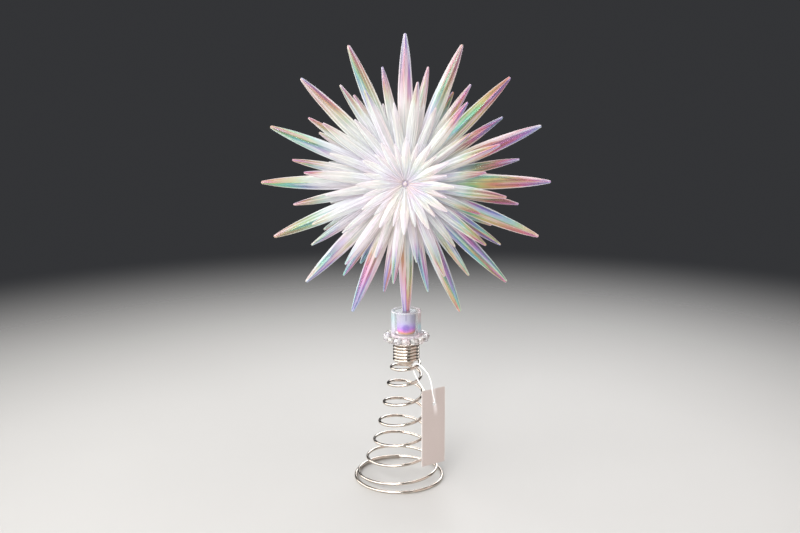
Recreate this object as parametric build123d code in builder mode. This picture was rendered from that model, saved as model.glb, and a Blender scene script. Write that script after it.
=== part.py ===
from build123d import *
import math
import os

# Starburst tree topper: clear faceted spikes in five mouldings on one pin,
# the lowest spike standing in a small cup, and the cup's peg held in the
# close-wound top of a conical wire spring.
# Millimetres. Z up, X to the right, the front faces -Y. The origin is on the
# floor, below the middle of the star.

# ---- driving dimensions ----
STAR_Z = 235.6          # height of the star's middle
RIM_LONG = 108.75       # reach of the 16 long rim spikes
RIM_MEDIUM = 86.6       # reach of the 16 medium rim spikes
RIM_COUNT = 16
ROSETTE_COUNT = 12
ROSETTE_LONG = (75.0, 16.4)    # reach and forward lean of a long rosette tip
ROSETTE_SHORT = (60.2, 10.4)   # the same for a short one
HEART_TIP = (36.0, 23.5)       # the same for the inner rosette
ROSETTE_BASE = 5.6      # distance of the rosettes' middle from the rim's plane
HEART_BASE = 9.3
RIM_HUB = 2.5           # the hubs end at these distances from the rim's plane
ROSETTE_HUB = 7.3
HEART_HUB = 11.2
HUB_GAP = 0.02
FRONT_TURN = 22.9       # angle of a front rosette's long spike
BACK_TURN = 28.5
PIN_R = 1.5
PIN_CLEAR = 0.05

CUP_R = 11.7
CUP_FOOT_R = 12.0
CUP_Z0 = 112.7
CUP_Z1 = 136.6
CUP_BORE_R = 8.9
CUP_FLOOR_Z = 118.2
SOCKET_R0 = 7.1
SOCKET_R1 = 7.8
SOCKET_Z1 = 136.0

BEAD_COUNT = 15
BEAD_R = 3.12
BEAD_RING_R = 15.2
BEAD_Z = 115.3
BEAD_WIRE_R = 0.4

WIRE_R = 1.2
PEG_R = 7.93
PEG_TIP_R = 5.4
PEG_Z0 = 93.6
PEG_Z1 = 114.7

# The spring wire, by turns: turn 0 is the first open turn, counted at the
# front. Height and radius of the wire's centre line at each turn's front.
TURNS = [-6.2, -5, -4, -3, -2, -1, 0, 1, 2, 3, 4, 5, 6, 6.75, 7.5]
HEIGHT = [111.1, 108.1, 105.6, 103.1, 100.6, 98.1, 92.8, 80.9, 65.9, 50.0,
          34.6, 19.8, 6.9, 1.2, 1.2]
RADIUS = [9.2, 9.2, 9.2, 9.2, 9.2, 9.2, 11.0, 12.6, 14.9, 17.3, 20.3, 24.3,
          31.0, 34.2, 34.6]
SHIFT = -6.0            # the foot stands this far to the left of the head
TILT = 1.0              # the open turns stand this much higher at the back
STEPS = 16              # route points in each turn
GAP = 0.04              # clearance between the wire's five lengths

TAG_W, TAG_H, TAG_T = 21.6, 62.0, 0.6
TAG_AT = (21.0, -13.07, 46.3)
TAG_TURN = 33.6
TAG_HOLE_R = 1.7
TAG_HOLE_DOWN = 12.2
LOOP_R = 0.5

os.makedirs("parts", exist_ok=True)


def finish(builder, name):
    builder.part.label = name
    export_step(builder.part, "parts/" + name + ".step")
    print(name, "valid", builder.part.is_valid, "volume", round(builder.part.volume, 1))


# ---- spikes ----
# A spike is a long leaf with a rhombic section: narrow at the root, widest a
# little past the middle and blunt at the tip. Each is built along +X with the
# star's front towards +Z.
LEAF = [(0.06, 0.30), (0.28, 0.66), (0.50, 0.93), (0.66, 1.0), (0.80, 0.88),
        (0.90, 0.66), (0.965, 0.40), (1.0, 0.16)]


def spike(reach, forward, base, width, depth):
    run = math.hypot(reach, forward - base)
    lean = math.atan2(forward - base, reach)
    out = Vector(math.cos(lean), 0, math.sin(lean))
    with BuildPart() as leaf:
        for share, full in LEAF:
            at = Vector(0, 0, base) + out * (run * share)
            with BuildSketch(Plane(origin=at, x_dir=(0, 1, 0), z_dir=out)):
                with BuildLine():
                    Polyline(
                        (width * full / 2, 0), (0, depth * full / 2),
                        (-width * full / 2, 0), (0, -depth * full / 2), close=True,
                    )
                make_face()
        loft(ruled=True)
    return leaf.part


rim_long = spike(RIM_LONG, 0, 0, 11.4, 8.6)
rim_medium = spike(RIM_MEDIUM, 0, 0, 8.0, 6.6)
rosette_long = spike(ROSETTE_LONG[0], ROSETTE_LONG[1], ROSETTE_BASE, 8.4, 6.2)
rosette_short = spike(ROSETTE_SHORT[0], ROSETTE_SHORT[1], ROSETTE_BASE, 7.0, 5.2)
heart_spike = spike(HEART_TIP[0], HEART_TIP[1], HEART_BASE, 6.6, 4.8)

FRONT = Plane(origin=(0, 0, STAR_Z), x_dir=(1, 0, 0), z_dir=(0, -1, 0))
BACK = Plane(origin=(0, 0, STAR_Z), x_dir=(-1, 0, 0), z_dir=(0, 1, 0))

with BuildPart(FRONT) as rim_star:
    Cylinder(9.0, 2 * RIM_HUB)
    with PolarLocations(0, RIM_COUNT):
        add(rim_long)
    with PolarLocations(0, RIM_COUNT, start_angle=11.25):
        add(rim_medium)
    Hole(PIN_R)
finish(rim_star, "rim_star")


def rosette(plane, turn, name):
    with BuildPart(plane) as star:
        with Locations((0, 0, RIM_HUB + HUB_GAP)):
            Cylinder(5.5, ROSETTE_HUB - RIM_HUB - HUB_GAP,
                     align=(Align.CENTER, Align.CENTER, Align.MIN))
        with PolarLocations(0, ROSETTE_COUNT, start_angle=turn):
            add(rosette_long)
        with PolarLocations(0, ROSETTE_COUNT, start_angle=turn + 15.0):
            add(rosette_short)
        with Locations((0, 0, ROSETTE_BASE)):
            Hole(PIN_R)
    finish(star, name)


def heart(plane, turn, name):
    with BuildPart(plane) as star:
        with Locations((0, 0, ROSETTE_HUB + HUB_GAP)):
            Cylinder(3.6, HEART_HUB - ROSETTE_HUB - HUB_GAP,
                     align=(Align.CENTER, Align.CENTER, Align.MIN))
        with PolarLocations(0, ROSETTE_COUNT, start_angle=turn):
            add(heart_spike)
        with Locations((0, 0, HEART_BASE)):
            Hole(PIN_R)
    finish(star, name)


rosette(FRONT, FRONT_TURN, "front_rosette")
rosette(BACK, BACK_TURN, "back_rosette")
heart(FRONT, -1.5, "front_heart")
heart(BACK, 8.0, "back_heart")

# ---- the pin that strings the five star mouldings together ----
HEAD = 1.2
with BuildPart(FRONT) as centre_pin:
    with Locations((0, 0, -HEART_HUB - HEAD)):
        Cylinder(PIN_R - PIN_CLEAR, 2 * (HEART_HUB + HEAD),
                 align=(Align.CENTER, Align.CENTER, Align.MIN))
    with Locations((0, 0, HEART_HUB + HUB_GAP)):
        Cylinder(2.4, HEAD, align=(Align.CENTER, Align.CENTER, Align.MIN))
finish(centre_pin, "centre_pin")

with BuildPart(BACK) as pin_cap:
    with Locations((0, 0, HEART_HUB + HUB_GAP)):
        Cylinder(2.4, HEAD, align=(Align.CENTER, Align.CENTER, Align.MIN))
        Hole(PIN_R)
finish(pin_cap, "pin_cap")

# ---- cup, its socket plug and its peg ----
with BuildPart() as cup:
    with BuildSketch(Plane.XZ):
        with BuildLine():
            Polyline(
                (0, 115.0), (PEG_R + 0.05, 115.0), (PEG_R + 0.05, CUP_Z0),
                (CUP_FOOT_R, CUP_Z0), (CUP_FOOT_R, 117.6), (CUP_R, 119.0),
                (CUP_R, CUP_Z1), (CUP_BORE_R, CUP_Z1), (CUP_BORE_R, CUP_FLOOR_Z),
                (0, CUP_FLOOR_Z), close=True,
            )
        make_face()
    revolve(axis=Axis.Z)
    lip = cup.edges().filter_by(GeomType.CIRCLE).group_by(Axis.Z)[-1]
    fillet(lip, 0.8)
finish(cup, "cup")

socket_cut = spike(RIM_LONG + 0.3, 0, 0, 11.8, 9.0)
with BuildPart() as spike_socket:
    with BuildSketch(Plane.XZ):
        with BuildLine():
            Polyline(
                (0, CUP_FLOOR_Z), (SOCKET_R0, CUP_FLOOR_Z), (SOCKET_R1, SOCKET_Z1),
                (0, SOCKET_Z1), close=True,
            )
        make_face()
    revolve(axis=Axis.Z)
    foot = spike_socket.edges().filter_by(GeomType.CIRCLE).group_by(Axis.Z)[0]
    fillet(foot, 2.2)
    with Locations(Location((0, 0, STAR_Z), (0, 90, 0))):
        add(Rot(X=90) * socket_cut, mode=Mode.SUBTRACT)
finish(spike_socket, "spike_socket")

with BuildPart() as peg:
    with BuildSketch(Plane.XZ):
        with BuildLine():
            Polyline(
                (0, PEG_Z0), (PEG_TIP_R, PEG_Z0), (PEG_R, PEG_Z0 + 5.2),
                (PEG_R, PEG_Z1), (0, PEG_Z1), close=True,
            )
        make_face()
    revolve(axis=Axis.Z)
finish(peg, "peg")

# ---- beads on their wire ----
with BuildPart(Plane.XY.offset(BEAD_Z)) as beads:
    with PolarLocations(BEAD_RING_R, BEAD_COUNT, start_angle=-90):
        Sphere(BEAD_R)
    with Locations((0, 0, 0)):
        Torus(BEAD_RING_R, BEAD_WIRE_R + 0.1, mode=Mode.SUBTRACT)
finish(beads, "beads")

with BuildPart(Plane.XY.offset(BEAD_Z)) as bead_wire:
    Torus(BEAD_RING_R, BEAD_WIRE_R)
finish(bead_wire, "bead_wire")


# ---- the spring: one wire, in five lengths ----
def along(table, turn):
    for i in range(len(TURNS) - 1):
        if turn <= TURNS[i + 1] or i == len(TURNS) - 2:
            share = (turn - TURNS[i]) / (TURNS[i + 1] - TURNS[i])
            break
    y0, y1 = table[i], table[i + 1]
    before = table[i - 1] if i > 0 else y0
    after = table[i + 2] if i + 2 < len(table) else y1
    dx = TURNS[i + 1] - TURNS[i]
    dx0 = TURNS[i] - TURNS[i - 1] if i > 0 else dx
    dx1 = TURNS[i + 2] - TURNS[i + 1] if i + 2 < len(table) else dx
    slopes = []
    for a, b, da, db in (((y0 - before) / dx0, (y1 - y0) / dx, dx0, dx),
                         ((y1 - y0) / dx, (after - y1) / dx1, dx, dx1)):
        slopes.append(0.0 if a * b <= 0 else (da + db) / (da / a + db / b))
    s2, s3 = share * share, share * share * share
    return (
        (2 * s3 - 3 * s2 + 1) * y0 + (s3 - 2 * s2 + share) * dx * slopes[0]
        + (3 * s2 - 2 * s3) * y1 + (s3 - s2) * dx * slopes[1]
    )


def ramp(value, low, high):
    share = min(1.0, max(0.0, (value - low) / (high - low)))
    return share * share * (3 - 2 * share)


def wire_point(turn):
    angle = math.radians(-90 - 360 * turn)
    radius = along(RADIUS, turn) / math.cos(math.pi / STEPS)
    tilt = TILT * ramp(turn, -1, 0) * (1 - ramp(turn, 5, 6.5))
    middle = SHIFT * ramp(turn, -1.0, 7.0)
    return Vector(
        middle + radius * math.cos(angle), radius * math.sin(angle),
        along(HEIGHT, turn) + tilt * math.sin(angle),
    )


first = TURNS[0]
count = int(round((TURNS[-1] - first) * STEPS))
wire = [wire_point(first + i / STEPS) for i in range(count + 1)]


def length_of_wire(start_turn, end_turn, name):
    low = int(math.floor((start_turn - first) * STEPS)) if start_turn is not None else 0
    high = int(math.floor((end_turn - first) * STEPS)) if end_turn is not None else count
    route = []
    if start_turn is None:
        route.append(wire[0])
    else:
        run = (wire[low + 1] - wire[low]).normalized()
        route.append((wire[low] + wire[low + 1]) * 0.5 + run * (GAP / 2))
    route += wire[low + 1:high + 1] if end_turn is not None else wire[low + 1:high]
    if end_turn is None:
        route.append(wire[high])
    else:
        run = (wire[high + 1] - wire[high]).normalized()
        route.append((wire[high] + wire[high + 1]) * 0.5 - run * (GAP / 2))
    bends = []
    for i in range(1, len(route) - 1):
        a, b = route[i] - route[i - 1], route[i + 1] - route[i]
        half = math.radians(a.get_angle(b)) / 2
        bends.append(0.45 * min(a.length, b.length) / math.tan(half))
    with BuildPart() as piece:
        with BuildLine() as path:
            FilletPolyline(*route, radius=bends)
        with BuildSketch(Plane(origin=path.line @ 0, z_dir=path.line % 0)):
            Circle(WIRE_R)
        sweep()
    length = sum(edge.length for edge in path.line.edges())
    print(name, "wire", round(length, 1), "mm, volume over section times length",
          round(piece.part.volume / (math.pi * WIRE_R ** 2 * length), 4))
    finish(piece, name)


length_of_wire(None, 0.26, "grip_coil")
length_of_wire(0.26, 2.26, "cone_upper")
length_of_wire(2.26, 4.26, "cone_middle")
length_of_wire(4.26, 6.01, "cone_lower")
length_of_wire(6.01, None, "base_ring")

# ---- blank tag, its loop and the loop's lock ----
TAG_PLANE = Plane(
    origin=TAG_AT,
    x_dir=(math.cos(math.radians(TAG_TURN)), math.sin(math.radians(TAG_TURN)), 0),
    z_dir=(math.sin(math.radians(TAG_TURN)), -math.cos(math.radians(TAG_TURN)), 0),
)
with BuildPart() as hang_tag:
    with BuildSketch(TAG_PLANE.offset(-TAG_T / 2)):
        RectangleRounded(TAG_W, TAG_H, 0.8)
        with Locations((0.65, TAG_H / 2 - TAG_HOLE_DOWN)):
            Circle(TAG_HOLE_R, mode=Mode.SUBTRACT)
    extrude(amount=TAG_T)
finish(hang_tag, "hang_tag")

LOOP_ROUTE = [
    (15.8, -11.6, 72.4), (13.2, -11.6, 77.2), (9.6, -11.1, 82.4), (7.0, -8.9, 87.0),
    (5.4, -6.7, 90.8), (5.3, -6.6, 94.2), (6.6, -8.1, 95.9), (9.2, -9.9, 96.3),
    (12.2, -11.4, 94.6), (15.2, -12.6, 91.4), (17.6, -13.7, 87.9), (19.2, -14.8, 83.4),
    (20.0, -15.2, 78.0), (20.9, -14.9, 71.8), (22.5, -14.2, 66.6), (20.6, -11.45, 65.4),
    (18.6, -11.6, 67.8),
]
loop_points = [Vector(*p) for p in LOOP_ROUTE]
loop_bends = []
for i in range(1, len(loop_points) - 1):
    a, b = loop_points[i] - loop_points[i - 1], loop_points[i + 1] - loop_points[i]
    half = math.radians(a.get_angle(b)) / 2
    loop_bends.append(0.45 * min(a.length, b.length) / math.tan(half))
print("loop bend radii", [round(r, 1) for r in loop_bends])
with BuildPart() as tag_loop:
    with BuildLine() as loop_path:
        FilletPolyline(*loop_points, radius=loop_bends)
    with BuildSketch(Plane(origin=loop_path.line @ 0, z_dir=loop_path.line % 0)):
        Circle(LOOP_R)
    sweep()
loop_length = sum(edge.length for edge in loop_path.line.edges())
print("loop length", round(loop_length, 1), "volume over section times length",
      round(tag_loop.part.volume / (math.pi * LOOP_R ** 2 * loop_length), 4))
finish(tag_loop, "tag_loop")

lock_run = loop_points[0] - loop_points[-1]
LOCK_GAP = 0.1
with BuildPart() as loop_lock:
    with BuildSketch(Plane(origin=loop_points[-1] + lock_run.normalized() * LOCK_GAP, z_dir=lock_run)):
        Circle(1.3)
    extrude(amount=lock_run.length - 2 * LOCK_GAP)
    chamfer(loop_lock.edges().filter_by(GeomType.CIRCLE), 0.3)
finish(loop_lock, "loop_lock")
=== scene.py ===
import math

import bpy
import numpy as np
from mathutils import Matrix, Vector


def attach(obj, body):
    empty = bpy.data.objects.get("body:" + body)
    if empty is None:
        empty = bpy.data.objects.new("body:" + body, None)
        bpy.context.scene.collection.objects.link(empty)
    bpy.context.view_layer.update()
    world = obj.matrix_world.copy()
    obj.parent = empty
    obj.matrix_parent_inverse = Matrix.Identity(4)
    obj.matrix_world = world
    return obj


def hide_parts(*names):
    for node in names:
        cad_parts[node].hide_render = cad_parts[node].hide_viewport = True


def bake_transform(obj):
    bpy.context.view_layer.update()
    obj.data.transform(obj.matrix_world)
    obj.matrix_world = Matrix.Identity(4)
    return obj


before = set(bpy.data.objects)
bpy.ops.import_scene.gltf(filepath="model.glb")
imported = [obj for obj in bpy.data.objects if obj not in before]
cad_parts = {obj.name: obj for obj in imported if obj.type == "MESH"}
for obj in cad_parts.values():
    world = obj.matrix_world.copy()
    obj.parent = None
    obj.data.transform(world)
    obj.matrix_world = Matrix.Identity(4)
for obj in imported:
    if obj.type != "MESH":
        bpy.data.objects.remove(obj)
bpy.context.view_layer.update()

MM = 0.001
rng = np.random.default_rng(41)

# ------------------------------------------------------------------ camera
PITCH, YAW, ROLL = 0.21393, -0.02046, -0.00502
forward = Vector((math.sin(YAW) * math.cos(PITCH), math.cos(YAW) * math.cos(PITCH), -math.sin(PITCH)))
right0 = Vector((math.cos(YAW), -math.sin(YAW), 0.0))
up0 = right0.cross(forward)
right = math.cos(ROLL) * right0 + math.sin(ROLL) * up0
up = -math.sin(ROLL) * right0 + math.cos(ROLL) * up0
camera = bpy.data.objects.new("camera", bpy.data.cameras.new("camera"))
bpy.context.scene.collection.objects.link(camera)
camera.data.lens = 44.80
camera.data.sensor_width = 36.0
camera.data.clip_start = 0.01
camera.data.clip_end = 50.0
camera.matrix_world = Matrix((
    (right.x, up.x, -forward.x, 0.01065),
    (right.y, up.y, -forward.y, -0.74279),
    (right.z, up.z, -forward.z, 0.33224),
    (0.0, 0.0, 0.0, 1.0),
))
bpy.context.scene.camera = camera
bpy.context.scene.view_settings.view_transform = "Standard"
bpy.context.scene.view_settings.look = "None"

# ------------------------------------------------------------------ loop of the tag, a free cord
LOOP_ROUTE = [
    (15.8, -11.6, 72.4), (13.2, -11.6, 77.2), (9.6, -11.1, 82.4), (7.0, -8.9, 87.0),
    (5.4, -6.7, 90.8), (5.3, -6.6, 94.2), (6.6, -8.1, 95.9), (9.2, -9.9, 96.3),
    (12.2, -11.4, 94.6), (15.2, -12.6, 91.4), (17.6, -13.7, 87.9), (19.2, -14.8, 83.4),
    (20.0, -15.2, 78.0), (20.9, -14.9, 71.8), (22.5, -14.2, 66.6), (20.6, -11.45, 65.4),
    (18.6, -11.6, 67.8),
]
loop_data = bpy.data.curves.new("loop_cord", "CURVE")
loop_data.dimensions = "3D"
loop_data.resolution_u = 24
loop_data.bevel_depth = 0.5 * MM
loop_data.bevel_resolution = 6
loop_data.use_fill_caps = True
loop_spline = loop_data.splines.new("NURBS")
loop_spline.points.add(len(LOOP_ROUTE) - 1)
for cord_point, (x, y, z) in zip(loop_spline.points, LOOP_ROUTE):
    cord_point.co = (x * MM, y * MM, z * MM, 1.0)
loop_spline.order_u = 3
loop_spline.use_endpoint_u = True
loop_cord = bpy.data.objects.new("loop_cord", loop_data)
bpy.context.scene.collection.objects.link(loop_cord)


# ------------------------------------------------------------------ node helpers
class Tree:
    """A material's node tree with short calls for the few nodes used here."""

    def __init__(self, name):
        self.mat = bpy.data.materials.new(name)
        self.mat.use_nodes = True
        self.nt = self.mat.node_tree
        self.nt.nodes.clear()
        self.out = self.nt.nodes.new("ShaderNodeOutputMaterial")

    def node(self, kind, **props):
        n = self.nt.nodes.new(kind)
        for k, v in props.items():
            setattr(n, k, v)
        return n

    def put(self, socket, value):
        if value is None:
            return
        if isinstance(value, bpy.types.NodeSocket):
            self.nt.links.new(value, socket)
        elif isinstance(value, (tuple, list)):
            if len(value) == 3 and socket.type == "RGBA":
                value = (*value, 1.0)
            socket.default_value = value
        else:
            socket.default_value = value

    def attr(self, name):
        return self.node("ShaderNodeAttribute", attribute_name=name).outputs["Fac"]

    def math(self, op, a, b=None, c=None, clamp=False):
        n = self.node("ShaderNodeMath", operation=op, use_clamp=clamp)
        self.put(n.inputs[0], a)
        self.put(n.inputs[1], b)
        self.put(n.inputs[2], c)
        return n.outputs[0]

    def span(self, value, a, b, lo=0.0, hi=1.0, smooth=True):
        n = self.node("ShaderNodeMapRange", interpolation_type="SMOOTHSTEP" if smooth else "LINEAR")
        self.put(n.inputs["Value"], value)
        self.put(n.inputs["From Min"], a)
        self.put(n.inputs["From Max"], b)
        self.put(n.inputs["To Min"], lo)
        self.put(n.inputs["To Max"], hi)
        return n.outputs["Result"]

    def vec(self, x, y, z):
        n = self.node("ShaderNodeCombineXYZ")
        self.put(n.inputs[0], x)
        self.put(n.inputs[1], y)
        self.put(n.inputs[2], z)
        return n.outputs[0]

    def noise(self, vector, scale, detail=2.0, rough=0.5, dist=0.0):
        n = self.node("ShaderNodeTexNoise")
        self.put(n.inputs["Vector"], vector)
        self.put(n.inputs["Scale"], scale)
        self.put(n.inputs["Detail"], detail)
        self.put(n.inputs["Roughness"], rough)
        self.put(n.inputs["Distortion"], dist)
        return n.outputs["Fac"]

    def place(self):
        return self.node("ShaderNodeTexCoord").outputs["Object"]

    def ramp(self, fac, stops, mode="LINEAR"):
        n = self.node("ShaderNodeValToRGB")
        n.color_ramp.interpolation = mode
        cr = n.color_ramp.elements
        while len(cr) > 1:
            cr.remove(cr[-1])
        cr[0].position, cr[0].color = stops[0][0], (*stops[0][1], 1.0)
        for p, col in stops[1:]:
            e = cr.new(p)
            e.color = (*col, 1.0)
        self.put(n.inputs["Fac"], fac)
        return n.outputs["Color"]

    def mix(self, fac, a, b, blend="MIX"):
        n = self.node("ShaderNodeMix", data_type="RGBA", blend_type=blend)
        n.clamp_factor = True
        self.put(n.inputs["Factor"], fac)
        self.put(n.inputs["A"] if False else n.inputs[6], a)
        self.put(n.inputs[7], b)
        return n.outputs[2]

    def bump(self, height, strength, distance=0.0002, normal=None):
        n = self.node("ShaderNodeBump")
        self.put(n.inputs["Height"], height)
        self.put(n.inputs["Strength"], strength)
        self.put(n.inputs["Distance"], distance)
        if normal is not None:
            self.put(n.inputs["Normal"], normal)
        return n.outputs["Normal"]

    def principled(self, **inputs):
        n = self.node("ShaderNodeBsdfPrincipled")
        for k, v in inputs.items():
            self.put(n.inputs[k.replace("_", " ")], v)
        return n

    def blend(self, fac, a, b):
        n = self.node("ShaderNodeMixShader")
        self.put(n.inputs[0], fac)
        self.put(n.inputs[1], a)
        self.put(n.inputs[2], b)
        return n.outputs[0]

    def done(self, shader):
        self.nt.links.new(shader, self.out.inputs["Surface"])
        return self.mat


# colours that thin layers go through, as a ring: violet, magenta, red, orange,
# yellow, green, teal, blue and back
FILM = [
    (0.00, (0.46, 0.24, 0.86)), (0.11, (0.84, 0.20, 0.62)), (0.21, (0.93, 0.26, 0.25)),
    (0.33, (0.98, 0.55, 0.18)), (0.45, (0.96, 0.87, 0.26)), (0.57, (0.42, 0.86, 0.38)),
    (0.69, (0.28, 0.84, 0.84)), (0.81, (0.26, 0.46, 0.96)), (0.91, (0.33, 0.30, 0.92)),
    (1.00, (0.46, 0.24, 0.86)),
]


def star_plastic():
    """Clear moulded spikes with a rainbow coating, partly painted light: painted highlight lines that run to the tip,
    painted bright edges and tips, a broken line of painted shade on the ridge, bubbles.
    """
    t = Tree("star_plastic")
    along, across, cross = t.attr("ir_along"), t.attr("ir_across"), t.attr("ir_cross")
    tone, zone, vivid = t.attr("ir_tone"), t.attr("ir_zone"), t.attr("ir_vivid")
    side = t.math("ABSOLUTE", across)
    seed = t.math("MULTIPLY", tone, 37.0)
    slim = t.span(along, 0.72, 0.93, 1.0, 0.0)
    flow = t.noise(t.vec(t.math("MULTIPLY", along, 2.0), t.math("MULTIPLY", across, 0.25), seed), 2.0, 2.0)
    streak = t.noise(t.vec(t.math("MULTIPLY", along, 0.8), t.math("MULTIPLY", across, 0.62), seed), 1.7, 1.0, 0.5)
    fine = t.noise(t.vec(t.math("MULTIPLY", along, 1.1), t.math("MULTIPLY", across, 1.45), seed), 1.7, 1.2, 0.5)
    facet = t.span(across, -0.05, 0.05, -1.0, 1.0)
    phase = t.math("ADD", zone, t.math("MULTIPLY", t.math("SUBTRACT", 1.0, along), 1.10))
    phase = t.math("ADD", phase, t.math("MULTIPLY", t.math("SUBTRACT", flow, 0.5), 0.45))
    phase = t.math("ADD", phase, t.math("MULTIPLY", t.math("SUBTRACT", streak, 0.5), 1.15))
    phase = t.math("ADD", phase, t.math("MULTIPLY", facet, 0.10))
    rainbow = t.mix(0.14, t.ramp(t.math("FRACT", phase), FILM), (0.0, 0.0, 0.0))
    # the near-white blush used where the colour is weak is partly the clear plastic's own milkiness and partly painted
    # light, standing in for a bright flash washing out the coating
    white = (1.0, 0.985, 0.987)
    pastel = t.mix(0.38, rainbow, white)
    blush = t.mix(0.89, rainbow, white)
    # painted highlights: white lines run the length of each facet between the coloured ones
    lines = t.span(fine, 0.51, 0.57)
    # painted highlights: bright edges along both sides of each spike and a bright dot at its tip
    edge = t.span(side, 0.72, 0.90)
    end = t.span(along, 0.955, 0.99)
    # one facet of a spike often carries more colour than the other
    pick = t.math("MULTIPLY", facet, t.math("SINE", t.math("MULTIPLY", tone, 71.0)))
    show = t.math("MULTIPLY", vivid, t.span(streak, 0.30, 0.50, 0.30, 1.0))
    show = t.math("MULTIPLY", show, t.span(pick, -0.6, 0.2, 0.45, 1.0))
    show = t.math("MULTIPLY", show, t.math("SUBTRACT", 1.0, edge))
    show = t.math("MULTIPLY", show, t.math("SUBTRACT", 1.0, t.math("MULTIPLY", lines, 0.92)))
    show = t.math("MULTIPLY", show, t.math("SUBTRACT", 1.0, t.math("MULTIPLY", end, 0.45)))
    colour = t.mix(t.span(show, 0.0, 0.08), blush, pastel)
    colour = t.mix(t.span(show, 0.08, 0.34), colour, rainbow)
    # painted shade and dark reflections: a shade line beside the ridge, broken along its length, and finer ones on the
    # facets
    ridge = t.math("MULTIPLY", t.span(t.math("ABSOLUTE", t.math("SUBTRACT", across, 0.06)), 0.03, 0.12, 1.0, 0.0),
                   t.span(flow, 0.42, 0.56, 0.1, 1.0))
    ridge = t.math("MULTIPLY", ridge, t.span(along, 0.16, 0.40, 0.2, 1.0))
    painted_shade_lines = t.math("MULTIPLY", t.span(fine, 0.46, 0.41), t.math("SUBTRACT", 1.0, edge))
    painted_shade_lines = t.math("MULTIPLY", painted_shade_lines, t.span(vivid, 0.0, 0.3, 0.21, 1.0))
    painted_shade_lines = t.math("MAXIMUM", painted_shade_lines, t.math("MULTIPLY", ridge, 0.85))
    painted_shade_lines = t.math("MULTIPLY", painted_shade_lines, t.math("SUBTRACT", 1.0, end))
    shade = t.mix(t.span(vivid, 0.05, 0.45), (0.72, 0.68, 0.72), t.mix(0.66, rainbow, (0.03, 0.02, 0.05)))
    colour = t.mix(t.math("MULTIPLY", painted_shade_lines, 0.92), colour, shade)
    # painted shade: the colour darkens away from the middle, so the middle, where the petals lie thick, stands out
    # whitest
    at = t.node("ShaderNodeSeparateXYZ")
    t.put(at.inputs[0], t.place())
    out = t.math("SQRT", t.math("ADD", t.math("POWER", t.math("ABSOLUTE", at.outputs[0]), 2.0),
                                t.math("POWER", t.math("ABSOLUTE", t.math("SUBTRACT", at.outputs[2], 0.2356)), 2.0)))
    colour = t.mix(t.span(out, 0.020, 0.044, 0.0, 0.14), colour, (0.09, 0.08, 0.12))
    # bubbles trapped in the moulding
    bubble = t.node("ShaderNodeTexVoronoi")
    t.put(bubble.inputs["Vector"], t.place())
    t.put(bubble.inputs["Scale"], 430.0)
    chosen = t.node("ShaderNodeSeparateColor")
    t.put(chosen.inputs[0], bubble.outputs["Color"])
    spot = t.math("MULTIPLY", t.span(bubble.outputs["Distance"], 0.10, 0.22, 1.0, 0.0),
                  t.math("GREATER_THAN", chosen.outputs[0], 0.95))
    colour = t.mix(t.math("MULTIPLY", spot, 0.6), colour, (1.0, 1.0, 1.0))
    ripple = t.noise(t.vec(t.math("MULTIPLY", along, 5.0), t.math("MULTIPLY", cross, 0.10), seed), 1.7, 0.0)
    height = t.math("ADD", t.math("MULTIPLY", t.math("MULTIPLY", fine, slim), 0.6), t.math("ADD", t.math("MULTIPLY", ripple, 0.35), t.math("MULTIPLY", spot, 0.3)))
    normal = t.bump(height, 0.07, 0.0003)
    film = t.span(phase, 0.0, 2.2, 260.0, 640.0, False)
    p = t.principled(
        Base_Color=colour, Roughness=t.span(along, 0.5, 0.95, 0.12, 0.24), IOR=1.50,
        Thin_Film_Thickness=film, Thin_Film_IOR=t.span(vivid, 0.05, 0.6, 1.52, 1.8, False),
        Coat_Weight=t.span(along, 0.6, 0.95, 0.7, 0.25), Coat_Roughness=0.08, Normal=normal,
    )
    glow = t.node("ShaderNodeBsdfTranslucent")
    t.put(glow.inputs["Color"], colour)
    t.put(glow.inputs["Normal"], normal)
    body = t.blend(t.span(along, 0.3, 0.8, 0.54, 0.36), p.outputs[0], glow.outputs[0])
    see = t.node("ShaderNodeBsdfTransparent")
    t.put(see.inputs["Color"], t.mix(t.math("MULTIPLY", vivid, 0.35), (0.985, 0.985, 0.992), rainbow))
    glass = t.principled(
        Base_Color=t.mix(t.math("MULTIPLY", vivid, 0.5), (0.98, 0.98, 0.995), rainbow), Roughness=0.10, IOR=1.46,
        Metallic=0.0, Thin_Film_Thickness=film, Thin_Film_IOR=1.9, Coat_Weight=0.5, Coat_Roughness=0.06,
    )
    clear = t.blend(0.16, see.outputs[0], glass.outputs[0])
    # the thin tips let more through than the thick middle, the bright lines and edges least
    solid = t.span(along, 0.30, 0.85, 0.72, 0.17)
    solid = t.math("MULTIPLY", solid, t.math("SUBTRACT", 1.0, t.math("MULTIPLY", painted_shade_lines, 0.55)))
    solid = t.math("ADD", solid, t.math("MULTIPLY", lines, 0.32))
    solid = t.math("ADD", solid, t.math("MULTIPLY", show, 0.16))
    solid = t.math("ADD", solid, t.math("MULTIPLY", t.math("MAXIMUM", edge, end), t.span(along, 0.5, 0.9, 0.62, 0.40)), clamp=True)
    solid = t.math("MAXIMUM", solid, 0.42)
    return t.done(t.blend(solid, clear, body))


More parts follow.
